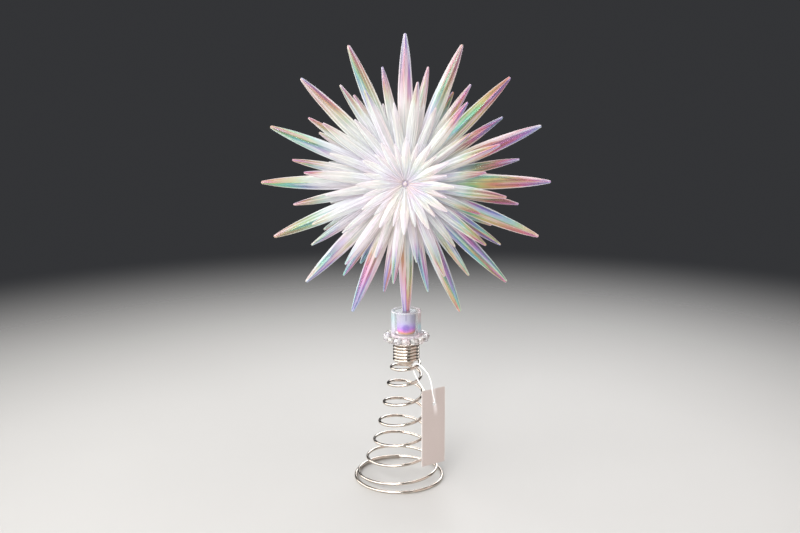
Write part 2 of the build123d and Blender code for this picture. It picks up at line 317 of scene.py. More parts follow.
def cup_plastic():
    """Clear tumbler wall: see-through face on, a milky rainbow band where the wall is looked through edgeways."""
    t = Tree("cup_plastic")
    sep = t.node("ShaderNodeSeparateXYZ")
    t.put(sep.inputs[0], t.place())
    turn = t.attr("c_turn")
    wall = t.attr("c_inner")
    x = t.math("MULTIPLY", sep.outputs[0], 1000.0)
    z = t.math("MULTIPLY", sep.outputs[2], 1000.0)
    warp = t.noise(t.vec(t.math("MULTIPLY", turn, 6.0), t.math("MULTIPLY", z, 0.035), 3.0), 1.5, 2.0)
    level = t.math("ADD", z, t.math("MULTIPLY", t.math("SUBTRACT", warp, 0.5), 6.0))
    cold = t.ramp(t.span(level, 117.0, 136.5, 0.0, 1.0, False), [
        (0.00, (0.93, 0.90, 0.97)), (0.25, (0.86, 0.90, 1.00)), (0.50, (0.84, 0.95, 0.99)), (0.78, (0.66, 0.92, 0.94)),
        (1.00, (0.80, 0.86, 0.88)),
    ])
    warm = t.ramp(t.span(level, 117.0, 136.5, 0.0, 1.0, False), [
        (0.00, (0.90, 0.84, 0.92)), (0.22, (0.55, 0.78, 0.82)), (0.42, (0.46, 0.74, 0.76)), (0.62, (0.66, 0.56, 0.56)),
        (0.85, (0.78, 0.62, 0.58)), (1.00, (0.80, 0.70, 0.68)),
    ])
    # painted light: the left half paler and the right half darker and warmer, partly the coating's colours and partly
    # light falling from the left and warm light from the right
    tint = t.mix(t.span(x, -5.0, 6.0), cold, warm)
    foot = t.span(z, 119.4, 118.0)
    tint = t.mix(foot, tint, t.mix(warp, (1.0, 0.95, 0.90), (0.93, 0.88, 1.0)))
    far = t.math("SQRT", t.math("ADD", t.math("POWER", t.math("ABSOLUTE", x), 2.0),
                                t.math("POWER", t.math("ABSOLUTE", t.math("MULTIPLY", sep.outputs[1], 1000.0)), 2.0)))
    # painted highlight: a near-white band round the outer edge of the lip, also drawn more opaque
    rim = t.math("MULTIPLY", t.span(z, 135.4, 136.2), t.span(far, 10.7, 11.3))
    tint = t.mix(rim, tint, (0.97, 0.96, 0.98))
    lw = t.node("ShaderNodeLayerWeight")
    t.put(lw.inputs["Blend"], 0.5)
    facing = lw.outputs["Facing"]
    lid = t.span(z, 136.35, 136.55, 1.0, 0.12)
    show = t.math("MULTIPLY", t.span(facing, 0.32, 0.44, 0.02, 0.58), lid)
    show = t.math("ADD", show, t.math("MULTIPLY", t.span(facing, 0.78, 0.95, 0.0, 0.32), lid), clamp=True)
    show = t.math("MULTIPLY", show, t.span(wall, 0.0, 1.0, 1.0, 0.30))
    show = t.math("ADD", show, t.math("MULTIPLY", rim, 0.34), clamp=True)
    show = t.math("ADD", show, t.math("MULTIPLY", foot, 0.62), clamp=True)
    grain = t.noise(t.vec(t.math("MULTIPLY", turn, 40.0), t.math("MULTIPLY", z, 0.12), 0.0), 3.0, 2.0)
    normal = t.bump(grain, 0.12, 0.0002)
    p = t.principled(
        Base_Color=tint, Roughness=t.span(grain, 0.2, 0.8, 0.05, 0.14), IOR=1.5,
        Thin_Film_Thickness=t.span(level, 117.0, 136.0, 300.0, 520.0, False), Thin_Film_IOR=1.8,
        Coat_Weight=1.0, Coat_Roughness=0.04, Normal=normal,
    )
    glow = t.node("ShaderNodeBsdfTranslucent")
    t.put(glow.inputs["Color"], tint)
    clear = t.node("ShaderNodeBsdfTransparent")
    t.put(clear.inputs["Color"], (0.985, 0.99, 0.995, 1.0))
    return t.done(t.blend(show, clear.outputs[0], t.blend(0.35, p.outputs[0], glow.outputs[0])))


def plug_plastic():
    t = Tree("plug_plastic")
    sep = t.node("ShaderNodeSeparateXYZ")
    t.put(sep.inputs[0], t.place())
    x, y = t.math("MULTIPLY", sep.outputs[0], 1000.0), t.math("MULTIPLY", sep.outputs[1], 1000.0)
    z = t.math("MULTIPLY", sep.outputs[2], 1000.0)
    sway = t.noise(t.vec(x, y, t.math("MULTIPLY", z, 0.5)), 0.16, 2.0)
    level = t.math("ADD", z, t.math("MULTIPLY", t.math("SUBTRACT", sway, 0.5), 2.6))
    tint = t.ramp(t.span(level, 118.2, 136.0, 0.0, 1.0, False), [
        (0.00, (1.00, 0.80, 0.50)), (0.07, (1.00, 0.58, 0.28)), (0.13, (1.00, 0.34, 0.42)),
        (0.20, (0.90, 0.26, 0.86)), (0.29, (0.62, 0.30, 1.00)), (0.42, (0.66, 0.52, 1.00)),
        (0.54, (0.72, 0.66, 0.94)), (0.68, (0.74, 0.71, 0.86)), (1.00, (0.70, 0.68, 0.77)),
    ])
    # painted light: the left side paler and pinker, the upper right side cooler and darker
    blush = t.span(x, -6.5, -1.0, 0.55, 0.0)
    tint = t.mix(t.math("MULTIPLY", blush, t.span(z, 120.0, 130.0)), tint, (0.80, 0.70, 0.76))
    cool = t.span(x, 2.0, 6.5, 0.0, 0.6)
    tint = t.mix(t.math("MULTIPLY", cool, t.span(z, 126.0, 133.0)), tint, (0.42, 0.58, 0.74))
    dx = t.math("POWER", t.math("ABSOLUTE", x), 2.0)
    dz = t.math("POWER", t.math("ABSOLUTE", t.math("SUBTRACT", z, 123.6)), 2.0)
    far = t.math("SQRT", t.math("ADD", dx, dz))
    tint = t.mix(t.span(far, 1.5, 4.2, 0.78, 0.0), tint, (0.28, 0.14, 0.66))
    up = t.node("ShaderNodeNewGeometry")
    top = t.node("ShaderNodeSeparateXYZ")
    t.put(top.inputs[0], up.outputs["Normal"])
    streak = t.noise(t.vec(t.math("MULTIPLY", x, 0.9), t.math("MULTIPLY", y, 0.9), t.math("MULTIPLY", z, 0.08)), 1.0, 2.0)
    high = t.span(z, 126.0, 131.0)
    tint = t.mix(t.math("MULTIPLY", high, t.span(streak, 0.52, 0.62, 0.0, 0.55)), tint, (0.62, 0.60, 0.78))
    tint = t.mix(t.math("MULTIPLY", high, t.span(streak, 0.46, 0.38, 0.0, 0.45)), tint, (0.70, 0.78, 0.86))
    foot = t.math("MULTIPLY", t.span(t.math("ABSOLUTE", x), 0.3, 0.9, 0.6, 0.0), t.math("MULTIPLY", t.span(z, 129.0, 130.5), t.span(z, 135.0, 133.5)))
    tint = t.mix(foot, tint, (0.42, 0.40, 0.52))
    # painted shade: the top face darker and more see-through, and the whole plug darkened more towards its top, where
    # it sits in the cup's mouth under the star
    lid = t.math("MULTIPLY", t.span(top.outputs[2], 0.80, 0.95), t.span(z, 134.0, 135.0))
    tint = t.mix(lid, tint, (0.42, 0.40, 0.46))
    tint = t.mix(t.span(z, 119.0, 131.0, 0.28, 0.42), tint, (0.10, 0.08, 0.14))
    grain = t.noise(t.place(), 900.0, 2.0)
    p = t.principled(
        Base_Color=tint, Roughness=0.16, IOR=1.5, Thin_Film_Thickness=t.span(level, 118.0, 136.0, 520.0, 300.0, False),
        Thin_Film_IOR=1.6, Coat_Weight=0.8, Coat_Roughness=0.06, Subsurface_Weight=0.15,
        Subsurface_Radius=(0.002, 0.002, 0.002), Subsurface_Scale=1.0, Normal=t.bump(grain, 0.10, 0.0001),
    )
    clear = t.node("ShaderNodeBsdfTransparent")
    return t.done(t.blend(t.span(lid, 0.0, 1.0, 0.92, 0.45), clear.outputs[0], p.outputs[0]))


def bead_plastic():
    t = Tree("bead_plastic")
    tone, place = t.attr("b_tone"), t.place()
    shift = t.noise(place, 260.0, 2.0)
    fac = t.math("FRACT", t.math("ADD", t.math("MULTIPLY", tone, 1.0), t.math("MULTIPLY", shift, 0.9)))
    tint = t.ramp(fac, [
        (0.00, (0.90, 0.86, 0.80)), (0.20, (0.92, 0.82, 0.84)), (0.38, (0.93, 0.91, 0.92)),
        (0.55, (0.83, 0.82, 0.93)), (0.70, (0.92, 0.88, 0.79)), (0.84, (0.82, 0.89, 0.87)),
        (1.00, (0.90, 0.86, 0.80)),
    ])
    # painted reflections: each facet is darkened or whitened by which way it faces, as if it caught something different
    geo, way = t.node("ShaderNodeNewGeometry"), t.node("ShaderNodeSeparateXYZ")
    t.put(way.inputs[0], geo.outputs["True Normal"])
    facet = t.noise(t.vec(way.outputs[0], way.outputs[1], t.math("ADD", way.outputs[2], t.math("MULTIPLY", tone, 9.0))), 2.6, 0.0)
    tint = t.mix(t.span(facet, 0.49, 0.39, 0.0, 0.72), tint, (0.36, 0.31, 0.31))
    tint = t.mix(t.span(facet, 0.54, 0.62, 0.0, 0.75), tint, (0.99, 0.98, 0.985))
    scratch = t.noise(place, 2400.0, 2.0)
    p = t.principled(
        Base_Color=tint, Roughness=t.span(scratch, 0.3, 0.8, 0.02, 0.08), IOR=1.58, Transmission_Weight=0.62,
        Thin_Film_Thickness=t.span(fac, 0.0, 1.0, 280.0, 600.0, False), Thin_Film_IOR=1.62,
        Coat_Weight=0.7, Coat_Roughness=0.03, Normal=t.bump(scratch, 0.05, 0.00005),
    )
    return t.done(p.outputs[0])


def spring_wire():
    t = Tree("spring_wire")
    length, around = t.attr("w_length"), t.attr("w_around")
    drawn = t.noise(t.vec(t.math("MULTIPLY", length, 0.06), t.math("MULTIPLY", around, 9.0), 0.0), 3.0, 3.0, 0.6)
    stain = t.noise(t.vec(t.math("MULTIPLY", length, 0.35), t.math("MULTIPLY", around, 1.5), 7.0), 1.0, 3.0)
    pits = t.noise(t.place(), 1800.0, 2.0)
    tint = t.mix(t.span(stain, 0.35, 0.70), (0.70, 0.65, 0.59), (0.62, 0.53, 0.46))
    tint = t.mix(t.span(drawn, 0.55, 0.80, 0.0, 0.35), tint, (0.46, 0.40, 0.35))
    p = t.principled(
        Base_Color=tint, Metallic=1.0, Roughness=t.span(t.math("ADD", drawn, t.math("MULTIPLY", pits, 0.4)), 0.4, 1.1, 0.09, 0.24),
        Normal=t.bump(t.math("ADD", drawn, t.math("MULTIPLY", pits, 0.25)), 0.10, 0.00008),
    )
    return t.done(p.outputs[0])


def steel_thread():
    t = Tree("bead_wire_steel")
    wear_and_painted_light = t.noise(t.place(), 1500.0, 3.0)
    p = t.principled(
        Base_Color=t.mix(wear_and_painted_light, (0.80, 0.79, 0.77), (0.62, 0.60, 0.57)), Metallic=1.0,
        Roughness=t.span(wear_and_painted_light, 0.3, 0.7, 0.16, 0.34), Normal=t.bump(wear_and_painted_light, 0.12, 0.00005),
    )
    return t.done(p.outputs[0])


def peg_plastic():
    t = Tree("peg_plastic")
    place = t.place()
    cloud, grain = t.noise(place, 120.0, 3.0), t.noise(place, 2200.0, 2.0)
    tint = t.mix(cloud, (0.60, 0.50, 0.42), (0.68, 0.58, 0.50))
    p = t.principled(
        Base_Color=tint, Roughness=t.span(grain, 0.3, 0.7, 0.30, 0.46), Subsurface_Weight=0.25,
        Subsurface_Radius=(0.002, 0.0015, 0.001), Subsurface_Scale=1.0, Normal=t.bump(grain, 0.12, 0.0001),
    )
    return t.done(p.outputs[0])


def loop_plastic():
    t = Tree("loop_plastic")
    place = t.place()
    cloud, grain = t.noise(place, 300.0, 2.0), t.noise(place, 3000.0, 2.0)
    tint = t.mix(cloud, (0.90, 0.89, 0.88), (0.97, 0.96, 0.95))
    p = t.principled(
        Base_Color=tint, Roughness=t.span(grain, 0.3, 0.7, 0.22, 0.36), Subsurface_Weight=0.4,
        Subsurface_Radius=(0.001, 0.001, 0.001), Subsurface_Scale=1.0, Coat_Weight=0.3,
        Normal=t.bump(grain, 0.08, 0.00005),
    )
    return t.done(p.outputs[0])


def tag_card():
    t = Tree("tag_card")
    place = t.place()
    u, v = t.attr("t_u"), t.attr("t_v")
    fibre = t.noise(t.vec(t.math("MULTIPLY", u, 60.0), t.math("MULTIPLY", v, 26.0), 0.0), 3.2, 4.0, 0.62, 0.6)
    cloud = t.noise(t.vec(t.math("MULTIPLY", u, 1.6), t.math("MULTIPLY", v, 2.4), 5.0), 1.4, 3.0)
    tooth = t.noise(place, 3800.0, 3.0)
    tint = t.mix(cloud, (0.473, 0.403, 0.381), (0.515, 0.448, 0.423))
    tint = t.mix(t.span(fibre, 0.45, 0.75, 0.0, 0.30), tint, (0.74, 0.66, 0.63))
    # painted light: a paler band from the top edge down to the hole, where the loop's strand passes in front of the
    # card
    wear_and_painted_light = t.math("MULTIPLY", t.span(t.math("ABSOLUTE", t.math("SUBTRACT", u, t.span(v, 0.60, 1.0, 0.60, 0.50))), 0.02, 0.12, 0.75, 0.0),
                 t.span(v, 0.62, 0.74))
    tint = t.mix(wear_and_painted_light, tint, (0.78, 0.73, 0.72))
    # painted highlight: the card's two long edges drawn paler, where its cut edges catch the light
    edge = t.span(t.math("ABSOLUTE", t.math("SUBTRACT", u, 0.5)), 0.475, 0.50, 0.0, 0.6)
    tint = t.mix(edge, tint, (0.90, 0.86, 0.84))
    normal = t.bump(t.math("ADD", t.math("MULTIPLY", fibre, 0.7), t.math("MULTIPLY", tooth, 0.5)), 0.30, 0.00012)
    p = t.principled(
        Base_Color=tint, Roughness=t.span(fibre, 0.3, 0.7, 0.62, 0.82), Specular_IOR_Level=0.35,
        Sheen_Weight=0.15, Sheen_Roughness=0.6, Normal=normal,
    )
    return t.done(p.outputs[0])


def floor_paint():
    t = Tree("floor_paint")
    place = t.place()
    cloud, tooth = t.noise(place, 5.0, 3.0), t.noise(place, 420.0, 3.0)
    tint = t.mix(cloud, (0.51, 0.502, 0.49), (0.545, 0.537, 0.525))
    p = t.principled(Base_Color=tint, Roughness=0.55, Specular_IOR_Level=0.25, Normal=t.bump(tooth, 0.05, 0.0003))
    far = t.node("ShaderNodeVectorMath", operation="LENGTH")
    t.put(far.inputs[0], place)
    fade = t.span(far.outputs["Value"], 0.24, 0.95, 1.0, 0.0)
    clear = t.node("ShaderNodeBsdfTransparent")
    return t.done(t.blend(fade, clear.outputs[0], p.outputs[0]))


# ------------------------------------------------------------------ mesh helpers
def piece(name, verts, faces, material, attributes=None, smooth=True, flat_faces=()):
    mesh = bpy.data.meshes.new(name)
    mesh.from_pydata([tuple(float(c) for c in v) for v in verts], [], [tuple(int(i) for i in f) for f in faces])
    mesh.validate()
    mesh.polygons.foreach_set("use_smooth", [smooth] * len(mesh.polygons))
    for key, values in (attributes or {}).items():
        a = mesh.attributes.new(key, "FLOAT", "POINT")
        a.data.foreach_set("value", np.asarray(values, np.float32))
    mesh.materials.append(material)
    mesh.update()
    obj = bpy.data.objects.new(name, mesh)
    bpy.context.scene.collection.objects.link(obj)
    return obj


def fair(points, at):
    """Monotone smooth curve through (x, y) points, read at the values given."""
    xs = np.array([p[0] for p in points], float)
    ys = np.array([p[1] for p in points], float)
    h, d = np.diff(xs), np.diff(ys) / np.diff(xs)
    m = np.zeros_like(ys)
    for i in range(1, len(xs) - 1):
        if d[i - 1] * d[i] > 0:
            m[i] = (h[i - 1] + h[i]) / (h[i - 1] / d[i - 1] + h[i] / d[i])
    m[0], m[-1] = d[0], d[-1]
    at = np.clip(np.asarray(at, float), xs[0], xs[-1])
    k = np.clip(np.searchsorted(xs, at, "right") - 1, 0, len(h) - 1)
    s = (at - xs[k]) / h[k]
    return ((2 * s**3 - 3 * s**2 + 1) * ys[k] + (s**3 - 2 * s**2 + s) * h[k] * m[k]
            + (3 * s**2 - 2 * s**3) * ys[k + 1] + (s**3 - s**2) * h[k] * m[k + 1])


def lathe(profile, count, turn0=0.0):
    """Verts and faces of a closed profile of (radius, height) turned about Z; radii of 0 make poles."""
    verts, faces, rings, turns = [], [], [], []
    for r, z in profile:
        if r < 1e-9:
            rings.append([len(verts)])
            verts.append((0.0, 0.0, z))
            turns.append(0.0)
            continue
        rings.append(list(range(len(verts), len(verts) + count)))
        for j in range(count):
            a = turn0 + 2 * math.pi * j / count
            verts.append((r * math.cos(a), r * math.sin(a), z))
            turns.append(j / count)
    for a, b in zip(rings, rings[1:]):
        for j in range(count):
            k = (j + 1) % count
            if len(a) == 1 and len(b) > 1:
                faces.append((a[0], b[j], b[k]))
            elif len(b) == 1 and len(a) > 1:
                faces.append((a[j], b[0], a[k]))
            elif len(a) > 1:
                faces.append((a[j], b[j], b[k], a[k]))
    return verts, faces, turns


# ------------------------------------------------------------------ star
STAR_Z = 235.6
# share of the spike's length against share of its greatest half width
LEAF = [(0.02, 0.24), (0.10, 0.38), (0.28, 0.70), (0.42, 0.92), (0.54, 1.0), (0.62, 0.975), (0.69, 0.905),
        (0.76, 0.81), (0.83, 0.695), (0.865, 0.61), (0.90, 0.525), (0.93, 0.425), (0.965, 0.315), (0.985, 0.235)]
# by the angle seen from the front, counted from the right-hand spike upwards: where in the ring of colours the tip
# starts, how strong the colour is, and the distance from the middle it starts at
# the reach of the near-white middle, furthest on the left, is partly painted light: the coating's colours washed out
# where the light falls brightest
ZONES = [
    (-22, 0.13, 0.92, 42), (0, 0.07, 0.85, 42), (22, -0.06, 0.92, 46), (45, -0.02, 1.0, 48), (67, 0.20, 0.62, 56),
    (90, -0.08, 0.34, 62), (112, 0.15, 0.50, 60), (135, 0.15, 0.42, 62), (157, 0.31, 0.84, 64), (180, 0.15, 0.95, 66),
    (202, 0.37, 0.62, 62), (225, 0.69, 0.50, 62), (247, 0.84, 0.85, 54), (270, 0.80, 0.62, 48), (292, 0.46, 0.66, 50),
    (315, 0.28, 0.92, 46), (338, 0.13, 0.92, 42), (360, 0.07, 0.85, 42),
]


def zone_at(angle):
    a = angle % 360.0
    return [float(np.interp(a, [z[0] for z in ZONES], [z[k] for z in ZONES])) for k in (1, 2, 3)]


def section(bulge=1.20):
    """Quarter of a softened rhombus, then mirrored round: points (x, y) with x the width and y the depth."""
    share = np.array([0.0, 0.05, 0.13, 0.32, 0.56, 0.76, 0.90, 0.97])
    quarter = [(s, (1 - s**bulge) ** (1 / bulge)) for s in share]
    full = [(0.0, 1.0)] + [(x, y) for x, y in quarter[1:]] + [(1.0, 0.0)]
    full += [(x, -y) for x, y in reversed(quarter[1:])] + [(0.0, -1.0)]
    full += [(-x, -y) for x, y in quarter[1:]] + [(-1.0, 0.0)]
    full += [(-x, y) for x, y in reversed(quarter[1:])]
    return np.array(full)


SECTION = section()
SHARES = np.concatenate([np.linspace(0.02, 0.60, 12), np.linspace(0.64, 0.96, 13), [0.975, 0.985]])


def spike_mesh(reach, ahead, base, width, depth, turn_deg, facing, tone, start=0.02, root=0.0):
    """One spike in millimetres, world frame. facing 1 is the front of the star and -1 the back."""
    run = math.hypot(reach, ahead - base)
    lean = math.atan2(ahead - base, reach)
    out = np.array([math.cos(lean), 0.0, math.sin(lean)])
    lift = np.array([-math.sin(lean), 0.0, math.cos(lean)])
    wide = np.array([0.0, 1.0, 0.0])
    origin = np.array([0.0, 0.0, base])
    shares = SHARES[SHARES >= start]
    half = fair(LEAF, shares)
    half = np.maximum(half, root * np.clip(1.6 - shares / 0.12, 0.0, 1.0))
    # a rounded end, then the very tip
    tip_r = half[-1] * width / 2
    ends = [0.45, 0.75, 0.93]
    tail = run * (1 - shares[-1])
    rings, v_along, v_across, v_cross = [], [], [], []
    for s, k in zip(shares, half):
        rings.append((s * run, k, 1.0))
    for e in ends:
        rings.append((shares[-1] * run + tail * e, half[-1] * math.sqrt(max(0.0, 1 - e * e)), 1.0))
    verts = []
    bend = 0.35 * math.sin(tone * 40.0)
    for d, k, _ in rings:
        c = origin + out * d + wide * (bend * 0.25 * math.sin(math.pi * min(1.0, d / run)) * width / 10)
        for x, y in SECTION:
            verts.append(c + wide * (x * k * width / 2) + lift * (y * k * depth / 2))
            v_along.append(d / run)
            v_across.append(x)
            v_cross.append(x * k * width / 2)
    n = len(SECTION)
    faces = []
    for r in range(len(rings) - 1):
        for j in range(n):
            k = (j + 1) % n
            faces.append((r * n + j, (r + 1) * n + j, (r + 1) * n + k, r * n + k))
    tip = len(verts)
    verts.append(origin + out * run)
    v_along.append(1.0)
    v_across.append(0.0)
    v_cross.append(0.0)
    root = len(verts)
    verts.append(origin + out * (rings[0][0] - 0.01))
    v_along.append(0.0)
    v_across.append(0.0)
    v_cross.append(0.0)
    last = (len(rings) - 1) * n
    for j in range(n):
        k = (j + 1) % n
        faces.append((last + j, tip, last + k))
        faces.append((k, root, j))
    verts = np.array(verts)
    a = math.radians(turn_deg)
    x = verts[:, 0] * math.cos(a) - verts[:, 1] * math.sin(a)
    y = verts[:, 0] * math.sin(a) + verts[:, 1] * math.cos(a)
    z = verts[:, 2]
    if facing > 0:
        world = np.stack([x, -z, STAR_Z + y], 1)
        clock = turn_deg
    else:
        world = np.stack([-x, z, STAR_Z + y], 1)
        clock = 180.0 - turn_deg
    phase, strong, begin = zone_at(clock)
    radial = np.hypot(world[:, 0], world[:, 2] - STAR_Z)
    s = np.clip((radial - (begin - 8)) / 34.0, 0, 1)
    vivid = strong * s * s * (3 - 2 * s) * (0.80 + 0.35 * math.sin(tone * 91.0) ** 2)
    vivid = np.maximum(vivid, 0.045 * max(0.0, math.cos(math.radians(clock + 12))))
    jitter = 0.10 * math.sin(tone * 57.0)
    return world * MM, faces, {
        "ir_along": np.array(v_along), "ir_across": np.array(v_across), "ir_cross": np.array(v_cross),
        "ir_tone": np.full(len(world), tone), "ir_zone": np.full(len(world), phase + jitter),
        "ir_vivid": np.clip(vivid, 0, 1),
    }


def join(parts):
    verts, faces, attributes, base = [], [], {}, 0
    for v, f, a in parts:
        verts.append(v)
        faces += [tuple(i + base for i in face) for face in f]
        for k, values in a.items():
            attributes.setdefault(k, []).append(values)
        base += len(v)
    return np.concatenate(verts), faces, {k: np.concatenate(v) for k, v in attributes.items()}


def hub_mesh(profile, flutes, facing, depth=0.06, tone=0.5):
    """A fluted hub turned about the star's axis: profile of (radius, distance in front of the rim's plane)."""
    count = flutes * 8
    verts, faces, turns = lathe([(r, h) for r, h in profile], count)
    v = np.array(verts)
    r = np.hypot(v[:, 0], v[:, 1])
    ang = np.arctan2(v[:, 1], v[:, 0])
    swell = 1 - depth * (0.5 + 0.5 * np.cos(ang * flutes)) * (r > 1e-9)
    v[:, 0] *= swell
    v[:, 1] *= swell
    world = np.stack([v[:, 0] * facing, -v[:, 2] * facing, STAR_Z + v[:, 1]], 1)
    radial = np.clip(r / 12.0, 0, 1)
    return world * MM, faces, {
        "ir_along": radial * 0.2, "ir_across": np.cos(ang * flutes) * 0.6, "ir_cross": np.cos(ang * flutes) * 1.2,
        "ir_tone": np.full(len(v), tone), "ir_zone": np.full(len(v), 0.9), "ir_vivid": np.full(len(v), 0.12),
    }


STAR = star_plastic()
tones = iter(rng.random(400))

rim = []
for k in range(16):
    rim.append(spike_mesh(108.75, 0, 0, 11.3, 8.5, 22.5 * k, 1, next(tones)))
for k in range(16):
    rim.append(spike_mesh(86.6, 0, 0, 7.9, 6.5, 11.25 + 22.5 * k, 1, next(tones)))
rim.append(hub_mesh([(0, -2.45), (7.6, -2.45), (8.6, -2.2), (8.95, -1.4), (8.95, 1.4), (8.6, 2.2), (7.6, 2.45), (0, 2.45)], 16, 1, 0.03, 0.3))
star_rim = piece("star_rim", *join(rim)[:2], STAR, join(rim)[2])
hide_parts("rim_star")


def rosette(name, turn, facing, node):
    parts = []
    for k in range(12):
        parts.append(spike_mesh(75.0, 16.4, 5.6, 8.3, 6.1, turn + 30 * k, facing, next(tones)))
        parts.append(spike_mesh(60.2, 10.4, 5.6, 6.9, 5.1, turn + 15 + 30 * k, facing, next(tones)))
    parts.append(hub_mesh([(0, 2.56), (5.0, 2.56), (5.4, 3.0), (5.4, 6.6), (4.9, 7.2), (0, 7.25)], 12, facing, 0.04, 0.7))
    v, f, a = join(parts)
    obj = piece(name, v, f, STAR, a)
    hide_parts(node)
    return obj


def heart(name, turn, facing, node):
    parts = [spike_mesh(36.0, 23.5, 9.3, 6.5, 4.7, turn + 30 * k, facing, next(tones), start=0.03, root=0.36) for k in range(12)]
    parts += [spike_mesh(31.5, 20.6, 9.3, 4.6, 3.9, turn + 15 + 30 * k, facing, next(tones), start=0.04, root=0.5) for k in range(12)]
    parts.append(hub_mesh([(0, 7.36), (3.2, 7.36), (3.5, 7.8), (3.5, 10.2), (3.0, 10.9), (0, 11.15)], 12, facing, 0.08, 0.2))
    v, f, a = join(parts)
    obj = piece(name, v, f, STAR, a)
    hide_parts(node)
    return obj


star_front = rosette("star_front_rosette", 22.9, 1, "front_rosette")
star_back = rosette("star_back_rosette", 28.5, -1, "back_rosette")
heart_front = heart("star_front_heart", -1.5, 1, "front_heart")
heart_back = heart("star_back_heart", 8.0, -1, "back_heart")

# the pin's head and its cap: small domes with shallow petals


def dome(name, facing, node, lengthwise):
    rows = [(0, 11.86), (0.30, 11.80), (0.66, 11.66), (1.04, 11.46), (1.40, 11.18), (1.66, 10.86), (1.75, 10.50)]
    if lengthwise:
        rows += [(1.44, 10.4), (1.44, -12.2), (1.2, -12.40), (0, -12.40)]
    else:
        rows += [(1.52, 10.5), (1.52, 12.0), (0, 12.0)]
    count = 96
    verts, faces, _ = lathe(rows, count)
    v = np.array(verts)
    r = np.hypot(v[:, 0], v[:, 1])
    ang = np.arctan2(v[:, 1], v[:, 0])
    crest = 1 - np.abs(np.sin(6 * (ang + math.radians(1.5)))) ** 0.8
    v[:, 2] += np.where((v[:, 2] > 10.45) & (r > 0.2), 0.34 * (crest - 0.6) * np.clip(r / 1.3, 0, 1), 0.0)
    world = np.stack([v[:, 0] * facing, -v[:, 2] * facing, STAR_Z + v[:, 1]], 1) * MM
    wave = np.sin(6 * (ang + math.radians(1.5)))
    # the dome's ir_across values sit in the spikes' painted edge highlight, so it comes out near white
    obj = piece(name, world, faces, STAR, {
        "ir_along": np.full(len(v), 0.2), "ir_across": 0.80 + 0.12 * np.abs(wave), "ir_cross": wave * 1.5,
        "ir_tone": np.full(len(v), 0.37), "ir_zone": np.full(len(v), 0.35), "ir_vivid": np.full(len(v), 0.04),
    })
    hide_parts(node)
    return obj


pin_head = dome("pin_with_head", 1, "centre_pin", True)
pin_back = dome("pin_back_cap", -1, "pin_cap", False)

# ------------------------------------------------------------------ cup, plug, peg, beads
CUP = [
    (8.02, 112.75), (8.3, 112.72), (11.5, 112.72), (11.85, 112.85), (11.98, 113.2), (11.98, 117.2), (11.93, 117.6),
    (11.80, 118.3), (11.70, 119.0), (11.66, 120.5), (11.62, 124.0), (11.60, 128.0), (11.62, 132.0), (11.67, 135.3),
    (11.62, 135.9), (11.42, 136.35), (11.05, 136.58), (10.6, 136.6), (9.6, 136.6), (9.2, 136.45), (8.98, 136.1),
    (8.93, 135.4), (8.92, 130.0), (8.91, 124.0), (8.90, 119.4), (8.6, 118.6), (8.0, 118.25), (7.2, 118.2), (0, 118.2),
]
CUP_UNDER = [(0, 115.02), (7.6, 115.02), (7.98, 114.9), (8.0, 113.0)]
cup_v, cup_f, cup_t = lathe(CUP_UNDER + CUP, 96)
cup_v = np.array(cup_v)
inner = ((np.hypot(cup_v[:, 0], cup_v[:, 1]) < 9.0) & (cup_v[:, 2] > 118.9)).astype(float)
cup_obj = piece("cup_shell", cup_v * MM, cup_f, cup_plastic(), {"c_turn": cup_t, "c_inner": inner})
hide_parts("cup")

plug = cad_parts["spike_socket"]
plug.data.materials.clear()
plug.data.materials.append(plug_plastic())

peg_rows = [
    (0, 94.6), (2.2, 94.6), (2.5, 94.3), (2.6, 93.75), (2.9, 93.62), (5.0, 93.62), (5.32, 93.78), (5.5, 94.2),
    (6.4, 96.0), (7.3, 97.7), (7.72, 98.5), (7.88, 99.0), (7.9, 99.6), (7.9, 104.0), (7.78, 104.15), (7.78, 104.6),
    (7.9, 104.75), (7.9, 113.9), (7.7, 114.4), (7.3, 114.66), (0, 114.66),
]
peg_v, peg_f, _ = lathe(peg_rows, 72)
peg_obj = piece("peg_body", np.array(peg_v) * MM, peg_f, peg_plastic())
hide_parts("peg")

